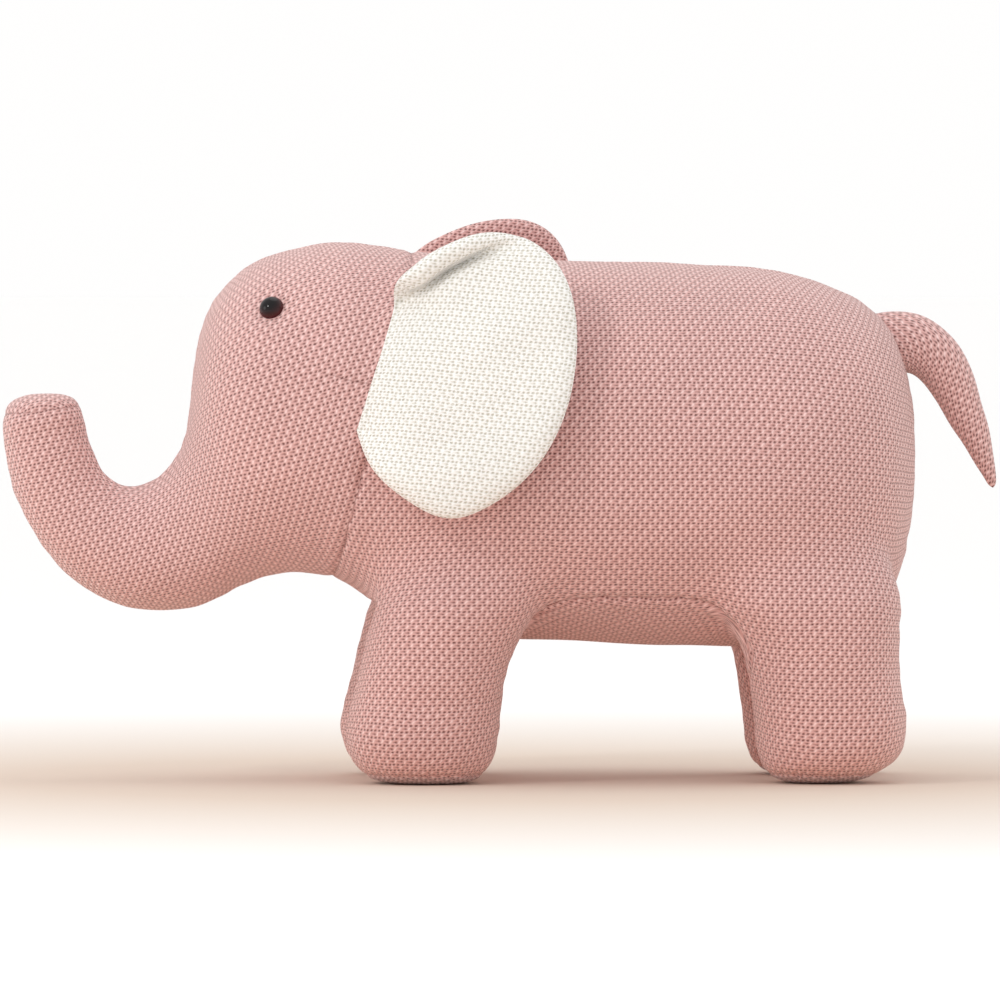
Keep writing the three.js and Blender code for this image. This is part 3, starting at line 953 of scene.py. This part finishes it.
def washer_plastic():
    """White moulded plastic with a faint grain."""
    n = Nodes("washer_plastic")
    grain = n.noise(n.place, 1500.0, 3)
    n.give("Base Color", n.mix(grain, linear(222, 222, 216), linear(236, 236, 231)))
    n.give("Roughness", n.plus(0.42, n.times(grain, 0.12)))
    n.bump(grain, 0.3, 0.00008)
    return n.material


MATERIALS = {PINK: pink_knit(), WHITE: white_knit(), "eye": eye_gloss(), "filling": fibre_fill()}


def dress(obj, slot_name):
    """Gives a piece its material, its slot and smooth shading."""
    obj.data.materials.clear()
    obj.data.materials.append(MATERIALS[slot_name])
    obj.data.polygons.foreach_set("use_smooth", [True] * len(obj.data.polygons))
    return obj


# ---- ears

# The left ear's pleat: a crease that runs up and back from the top of the root. The cloth stands
# out in a roll above it and sinks to a hollow below it.
FOLD_START = np.array((6.0, 34.0))
FOLD_END = np.array((64.0, 66.0))
FOLD_BOW = 8.0
ROLL_HEIGHT = 10.5
HOLLOW_DEPTH = 6.0
ROLL_OVERHANG = 8.0
PLEATED_EAR_SIZE = (1, 0.967)
PLEATED_EAR_SHIFT = (-4.0, -0.5)

# The right ear has no pleat, so its top reaches further back and up.
EAR_TOP = 73
OPEN_EAR_REACH = (12.0, 3.5)

EAR_CENTRE = np.array((44.0, -2.0))
EAR_HALF_THICKNESS = 4.4
EAR_RIM_ROUND = 9.0
WADDING_SIZE = 0.93  # of the ear's
WADDING_THICKNESS = 0.55
ROOT_REACH = 26.0
ROOT_SINK = 1.0
ROOT_TOP = np.array(EAR_OUTLINE[0], float)
ROOT_LOW = np.array(EAR_OUTLINE[-1], float)


def ear_frame(side):
    """Turns points of an ear's own plane (x rearward, y up, height outward) to the toy's frame."""
    splay = side * math.atan(EAR_SPLAY)
    lean = side * math.atan(EAR_LEAN)
    turn = Matrix.Rotation(splay, 3, "Z") @ Matrix.Rotation(lean, 3, "X")
    basis = np.array([turn @ Vector((1, 0, 0)), turn @ Vector((0, 0, 1)), turn @ Vector((0, side, 0))])
    root = np.array((EAR_ROOT[0], side * EAR_ROOT[1], EAR_ROOT[2]))
    return lambda local: root + local @ basis


def pleat_place(x, y):
    """How far a point of the ear lies along the pleat's crease and above it, and which way above is."""
    way = FOLD_END - FOLD_START
    length = np.linalg.norm(way)
    way = way / length
    above = np.array((-way[1], way[0]))
    t = ((x - FOLD_START[0]) * way[0] + (y - FOLD_START[1]) * way[1]) / length
    s = (x - FOLD_START[0]) * above[0] + (y - FOLD_START[1]) * above[1]
    return t, s - FOLD_BOW * np.sin(np.pi * np.clip(t, 0, 1)), above


def painted_crease_shade(x, y):
    """Painted shade in the pleat's crease and the hollow under it, from 0 to 1."""
    t, s, _ = pleat_place(x, y)
    return np.exp(-(((s + 2.5) / 3.6) ** 2)) * smoothstep(-0.1, 0.15, t) * (1 - smoothstep(0.5, 1.1, t))


def pleat(x, y, lag):
    """What the pleat adds to a point of the ear: x, y and height.

    The lag is the share of the roll's overhang that a layer does not follow.
    """
    t, s, above = pleat_place(x, y)
    strength = 1 - smoothstep(0.5, 1.15, t)
    hollow = -HOLLOW_DEPTH * np.exp(-(((s + 4.0) / 4.6) ** 2)) * strength * smoothstep(0.05, 0.4, t)
    roll = ROLL_HEIGHT * np.exp(-(((s - 6.5) / 5.6) ** 2)) * strength
    overhang = ROLL_OVERHANG * (1 - lag) * smoothstep(-0.05, 0.25, t)
    shift = -overhang * np.exp(-(((s - 2.6) / np.where(s < 2.6, 3.6, 8.0)) ** 2)) * strength
    return shift * above[0], shift * above[1], hollow + roll


def ear_grid(unfolded):
    """Points of an ear's plane on rings from its middle to its outline, and how far in each lies."""
    rim = smooth_rows(EAR_OUTLINE, 220)
    root = np.linspace(rim[-1], rim[0], 42)[1:-1]
    outline = np.concatenate([rim, root])
    share = np.concatenate([np.linspace(0, 0.86, 34)[1:], np.linspace(0.87, 1, 16)])
    grid = EAR_CENTRE + share[:, None, None] * (outline - EAR_CENTRE)
    inward = (1 - share)[:, None] * np.linalg.norm(outline - EAR_CENTRE, axis=1)
    if unfolded:
        high = np.clip(grid[..., 1] / EAR_TOP, 0, 1) ** 1.5
        back, up = OPEN_EAR_REACH
        grid = grid + np.stack([back * high * smoothstep(10, 60, grid[..., 0]), up * high], -1)
    else:
        grid = grid * PLEATED_EAR_SIZE + PLEATED_EAR_SHIFT
    return grid, inward


def ear_points(grid, inward, half, side, folded, body_tree):
    """An ear's face, half its thickness from its middle, with its root drawn in to the head."""
    x, y = grid[..., 0], grid[..., 1]
    fullness = np.sqrt(1 - (1 - np.clip(inward / EAR_RIM_ROUND, 0, 1)) ** 2)
    level = np.stack([x, y, np.zeros_like(x)], -1).reshape(-1, 3)
    soft = waves(level, 36, 20 + side).reshape(x.shape)
    height = 1.8 * np.exp(-(((x - 50) / 36) ** 2) - ((y + 4) / 46) ** 2) + 0.5 * soft
    height = height - 3.5 * smoothstep(-52, -80, y) + half * fullness
    shift_x = shift_y = 0
    if folded:
        lag = 0.4 * (1 - half / EAR_HALF_THICKNESS) * smoothstep(1.5, 9, inward)
        shift_x, shift_y, pleated = pleat(x, y, lag)
        height = height + pleated
    world = ear_frame(side)(np.stack([x + shift_x, y + shift_y, height], -1).reshape(-1, 3))
    flat = np.stack([x, y], -1).reshape(-1, 2)
    line = ROOT_LOW - ROOT_TOP
    along = np.clip(((flat - ROOT_TOP) @ line) / (line @ line), 0, 1)
    from_root = np.linalg.norm(flat - ROOT_TOP - along[:, None] * line, axis=1)
    held = np.clip(1 - from_root / ROOT_REACH, 0, 1) ** 1.6
    stations = np.linspace(0, 1, 9)
    pulls = []
    for station in stations:
        start = ear_frame(side)(np.array([*(ROOT_TOP + station * line), 0.0]))
        outside = Vector((start[0], side * FAR_MM, start[2])) * MM
        spot = body_tree.ray_cast(outside, Vector((0, -side, 0)))[0]
        pulls.append(np.array((0, spot.y / MM - side * ROOT_SINK - start[1], 0)))
    pull = np.stack([np.interp(along, stations, column) for column in np.array(pulls).T], 1)
    return world + held[:, None] * pull


def ring_faces(rings, sides, flip):
    """Faces of rings about a middle point, the point first."""
    faces = []
    for j in range(sides):
        k = (j + 1) % sides
        faces.append((0, 1 + j, 1 + k))
        for i in range(rings - 1):
            base = 1 + i * sides
            faces.append((base + j, base + sides + j, base + sides + k, base + k))
    return [face[::-1] for face in faces] if flip else faces


def with_middle(points, rings, sides):
    return np.concatenate([[points.reshape(rings, sides, -1)[0].mean(0)], points])


def ear_wad(grid, inward, side_name, side, body_tree):
    """A thinner and slightly smaller copy of the ear's two faces, closed along the rim."""
    rings, sides = inward.shape
    verts = []
    small = EAR_CENTRE + WADDING_SIZE * (grid - EAR_CENTRE)
    for half in (1, -1):
        thickness = half * WADDING_THICKNESS * EAR_HALF_THICKNESS
        points = ear_points(small, inward, thickness, side, side < 0, body_tree)
        verts.append(with_middle(points, rings, sides))
    count = len(verts[0])
    faces = ring_faces(rings, sides, side < 0)
    faces += [tuple(i + count for i in face) for face in ring_faces(rings, sides, side > 0)]
    last = 1 + (rings - 1) * sides
    for j in range(sides):
        k = (j + 1) % sides
        rim = (last + j, count + last + j, count + last + k, last + k)
        faces.append(rim[::-1] if side < 0 else rim)
    wad = new_object(f"ear_wadding_{side_name}_fibre", np.concatenate(verts), faces, MM)
    return dress(wad, "filling")


def make_ears(body_tree):
    """The white lining, the pink back and the wadding between them, for each ear."""
    made = {}
    rows_run = (math.cos(EAR_ROW_TILT), 0, -math.sin(EAR_ROW_TILT))
    rows_climb = (math.sin(EAR_ROW_TILT), 0, math.cos(EAR_ROW_TILT))
    for side_name, side in (("left", -1), ("right", 1)):
        grid, inward = ear_grid(unfolded=side > 0)
        rings, sides = inward.shape
        for layer_name, half, slot_name in (("lining", 1, WHITE), ("back", -1, PINK)):
            flip = (side < 0) == (half > 0)
            points = ear_points(grid, inward, half * EAR_HALF_THICKNESS, side, side < 0, body_tree)
            points = with_middle(points, rings, sides)
            faces = ring_faces(rings, sides, flip)
            obj = new_object(f"ear_{layer_name}_{side_name}_knit", points, faces)
            grain = grain_across(rows_run, rows_climb, -side * half)
            lay_knit(obj.data, np.zeros(len(obj.data.polygons), np.int32), [grain])
            set_coordinates(obj.data, points * MM)
            # On the left ear's lining the "seam" mark carries painted shade in the pleat's crease, not
            # a seam.
            if side < 0 < half:
                mark = with_middle(painted_crease_shade(*grid.reshape(-1, 2).T)[:, None], rings, sides)
                set_mark(obj.data, "seam", mark)
            made[f"ear_{layer_name}_{side_name}"] = dress(obj, slot_name)
        wad = ear_wad(grid, inward, side_name, side, body_tree)
        made[f"ear_wadding_{side_name}"] = wad
    return made


# ---- tail

TAIL_FLATNESS = 0.9  # its width over its depth
TAIL_LUMP = 0.21


def make_tail():
    """A tapering roll of knit whose root end lies inside the rump."""
    rows = smooth_rows(TAIL, 90)
    spine = np.stack([rows[:, 0], np.zeros(len(rows)), rows[:, 1]], 1)
    direction = np.gradient(spine, axis=0)
    direction /= np.linalg.norm(direction, axis=1)[:, None]
    across = np.array((0, 1.0, 0))
    along = np.cumsum(np.concatenate([[0], np.linalg.norm(np.diff(spine, axis=0), axis=1)]))
    sides = 48
    turn = np.arange(sides) / sides * 2 * np.pi
    verts, uv = [], []
    for i, (centre, radius) in enumerate(zip(spine, rows[:, 2])):
        up = np.cross(direction[i], across)
        circle = np.outer(np.cos(turn - np.pi / 2), across) * TAIL_FLATNESS
        circle = circle + np.outer(np.sin(turn - np.pi / 2), up)
        verts.append(centre + circle * max(radius, 0.2))
        uv.append(np.stack([along[i] * np.ones(sides), turn], 1))
    points = np.concatenate(verts)
    full = np.clip(np.repeat(rows[:, 2], sides) / 8, 0, 1)
    points += (TAIL_LUMP * waves(points, 19, 31) * full)[:, None]
    faces = tube_faces(len(spine), sides)
    faces.append(tuple((len(spine) - 1) * sides + j for j in range(sides)))
    obj = new_object("tail_cover_knit", points, faces, MM)
    flat = np.concatenate(uv)
    values = np.empty((len(obj.data.loops), 2), np.float32)
    for polygon in obj.data.polygons:
        loops = list(polygon.loop_indices)
        corners = np.array([flat[obj.data.loops[i].vertex_index] for i in loops])
        if np.ptp(corners[:, 1]) > np.pi:
            corners[corners[:, 1] < 1e-6, 1] = 2 * np.pi
        width = np.interp(corners[:, 0], along, rows[:, 2])
        values[loops] = np.stack([corners[:, 0], (corners[:, 1] - np.pi) * width], 1)
    set_knit(obj.data, values)
    return dress(obj, PINK)


# ---- eyes

# A domed button, a fine shoulder under it and a shank: radius and height.
EYE_PROFILE = [(0, 5.0), (1.6, 4.88), (3.1, 4.35), (4.4, 3.45), (5.35, 2.3), (5.95, 1.1), (6.15, 0.2)]
EYE_PROFILE += [(6.2, -0.35), (6.05, -0.75), (5.6, -0.95), (1.8, -1.0), (1.8, -7.5), (0, -7.5)]
EYE_RADIUS = 6.2
EYE_LIFT = 1.0


def make_eyes(body_tree):
    """Both eyes, each set in the dimple that it pulls in the fabric."""
    made = {}
    for side_name, side in (("left", -1), ("right", 1)):
        origin = Vector((EYE_XZ[0], side * FAR_MM, EYE_XZ[1])) * MM
        spot, normal, _, _ = body_tree.ray_cast(origin, Vector((0, -side, 0)))
        sides = 48
        turn = np.arange(sides) / sides * 2 * np.pi
        verts = [np.array([(0, 0, EYE_PROFILE[0][1])])]
        for radius, height in EYE_PROFILE[1:-1]:
            circle = radius * np.cos(turn), radius * np.sin(turn), np.full(sides, height)
            verts.append(np.stack(circle, 1))
        verts.append(np.array([(0, 0, EYE_PROFILE[-1][1])]))
        points = np.concatenate(verts)
        rows = len(EYE_PROFILE) - 2
        faces = [(0, 1 + j, 1 + (j + 1) % sides) for j in range(sides)]
        faces += tube_faces(rows, sides, 1)
        last = len(points) - 1
        low = 1 + (rows - 1) * sides
        faces += [(last, low + (j + 1) % sides, low + j) for j in range(sides)]
        obj = new_object(f"eye_{side_name}_dome", points, faces, MM)
        seat = Vector(spot) + normal * EYE_LIFT * MM
        turn_to = Vector((0, 0, 1)).rotation_difference(normal).to_matrix().to_4x4()
        obj.data.transform(Matrix.Translation(seat) @ turn_to)
        radius = [0.0] + [r for r, _ in EYE_PROFILE[1:-1] for _ in range(sides)] + [0.0]
        set_mark(obj.data, "rim", np.array(radius, np.float32) / EYE_RADIUS)
        made[f"eye_{side_name}"] = dress(subdivide(obj), "eye")
    return made


# ---- filling

FILLINGS = ["torso_stuffing", "head_stuffing", "trunk_stuffing", "tail_stuffing"]
FILLINGS += [f"leg_stuffing_{end}_{side}" for end in ("front", "rear") for side in ("left", "right")]


# Each wad's voxel size, how far it lies inside the faceted one, and how lumpy it is.
WAD = (5.0, 2.6, 0.8)
TAIL_WAD = (1.5, 0.3, 0.1)
WAD_WAVE = 21
WAD_RELAX = 4


def make_fillings():
    """A lumpy wad of fibre in place of each faceted one."""
    made = {}
    for node in FILLINGS:
        obj = bpy.data.objects.new(node + "_fibre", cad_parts[node].data.copy())
        bpy.context.scene.collection.objects.link(obj)
        voxel, sink, lump = TAIL_WAD if node == "tail_stuffing" else WAD
        remesh(obj, voxel * MM)
        co, pairs = coordinates(obj.data) / MM, edge_pairs(obj.data)
        co = relax(co, pairs, WAD_RELAX)
        set_coordinates(obj.data, co * MM)
        lumps = lump * waves(co, WAD_WAVE, 41)
        co = co + (lumps - sink)[:, None] * normals(obj.data)
        set_coordinates(obj.data, co * MM)
        made[node] = dress(obj, "filling")
    return made


# ---- studio

def make_camera():
    data = bpy.data.cameras.new("camera")
    data.lens = 432
    data.sensor_width = 36
    camera = bpy.data.objects.new("camera", data)
    bpy.context.scene.collection.objects.link(camera)
    data.clip_end = 200
    target = Vector((0, 0, 0.1392))
    azimuth, elevation, distance = math.radians(-2.1), math.radians(1.2), 6.0
    offset = Vector((math.sin(azimuth), -math.cos(azimuth), math.tan(elevation))) * distance
    camera.location = target + offset
    camera.rotation_euler = (target - camera.location).to_track_quat("-Z", "Y").to_euler()
    bpy.context.scene.camera = camera


def area_light(name, place, target, size, power, colour=(1, 1, 1)):
    data = bpy.data.lights.new(name, "AREA")
    data.shape = "DISK"
    data.size = size
    data.energy = power
    data.color = colour
    light = bpy.data.objects.new(name, data)
    bpy.context.scene.collection.objects.link(light)
    light.location = place
    light.rotation_euler = (Vector(target) - Vector(place)).to_track_quat("-Z", "Y").to_euler()
    return light


def floor_paper_painted_shade():
    """White paper with painted warm shade around the toy, fading to white a metre out."""
    n = Nodes("floor_paper_painted_shade")
    far = n.add("ShaderNodeVectorMath", operation="LENGTH")
    n.plug(n.place, far.inputs[0])
    painted_shade_ramp = n.add("ShaderNodeMapRange")
    n.plug(far.outputs["Value"], painted_shade_ramp.inputs["Value"])
    painted_shade_ramp.inputs["From Min"].default_value = 0.25
    painted_shade_ramp.inputs["From Max"].default_value = 1.0
    # Painted warm shade pool on the paper around the toy, which also tints the light the paper throws
    # back up.
    n.give("Base Color", n.mix(painted_shade_ramp.outputs[0], (0.73, 0.62, 0.53, 1), (1.0, 0.998, 0.995, 1)))
    n.give("Roughness", 0.95)
    n.give("Specular IOR Level", 0.1)
    return n.material


FLOOR_RADIUS = 60
FLOOR_Z = -0.0002


def make_floor():
    place = (0, 0, FLOOR_Z)
    bpy.ops.mesh.primitive_circle_add(
        vertices=64, radius=FLOOR_RADIUS, fill_type="NGON", location=place
    )
    floor = bpy.context.object
    floor.name = "floor"
    floor.data.materials.append(floor_paper_painted_shade())


def make_lights():
    """White surroundings and four lamps, one of them the paper's glow from below."""
    scene = bpy.context.scene
    scene.view_settings.view_transform = "Standard"
    world = bpy.data.worlds.new("studio")
    scene.world = world
    world.use_nodes = True
    background = world.node_tree.nodes["Background"]
    background.inputs[0].default_value = (1, 0.995, 0.99, 1)
    background.inputs[1].default_value = 1.0
    area_light("key", (-1.4, -1.4, 1.4), (0, 0, 0.15), 0.3, 7, (1, 0.985, 0.965))
    area_light("face", (-1.9, -0.6, 0.6), (-0.15, 0, 0.2), 0.9, 3.2, (1, 0.99, 0.98))
    area_light("top", (0.1, 0.3, 1.8), (0, 0, 0.2), 1.2, 3)
    bounce = area_light("bounce", (0.0, -0.1, 0.004), (0.0, -0.1, 1.0), 0.8, 0.2, (1, 0.27, 0.05))
    bounce.visible_camera = False


# ---- build

make_camera()
make_lights()
make_floor()

skin = sew(body_skin())
verts = coordinates(skin.data) * MM
polygons = [tuple(p.vertices) for p in skin.data.polygons]
body_tree = BVHTree.FromPolygons(verts.tolist(), polygons)
panels = panel_objects(skin)
for node, piece in panels.items():
    dress(piece, PINK)
    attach(piece, "body")
    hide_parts(node)

for node, piece in make_ears(body_tree).items():
    side_name = node.split("_")[-1]
    to_frame = ear_frame(-1 if side_name == "left" else 1)
    start, end = (to_frame(np.array(point)) * MM for point in ((-2.0, 0.5, 0.0), (24.0, -5.7, 0.0)))
    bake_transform(piece)
    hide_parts(node)

tail = make_tail()
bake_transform(tail)
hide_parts("tail_cover")

for node, piece in make_eyes(body_tree).items():
    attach(piece, "body")
    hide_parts(node)

for node, piece in make_fillings().items():
    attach(piece, "tail" if node == "tail_stuffing" else "body")
    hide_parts(node)

washer = washer_plastic()
for side_name in ("left", "right"):
    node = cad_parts[f"eye_washer_{side_name}"]
    node.data.materials.clear()
    node.data.materials.append(washer)
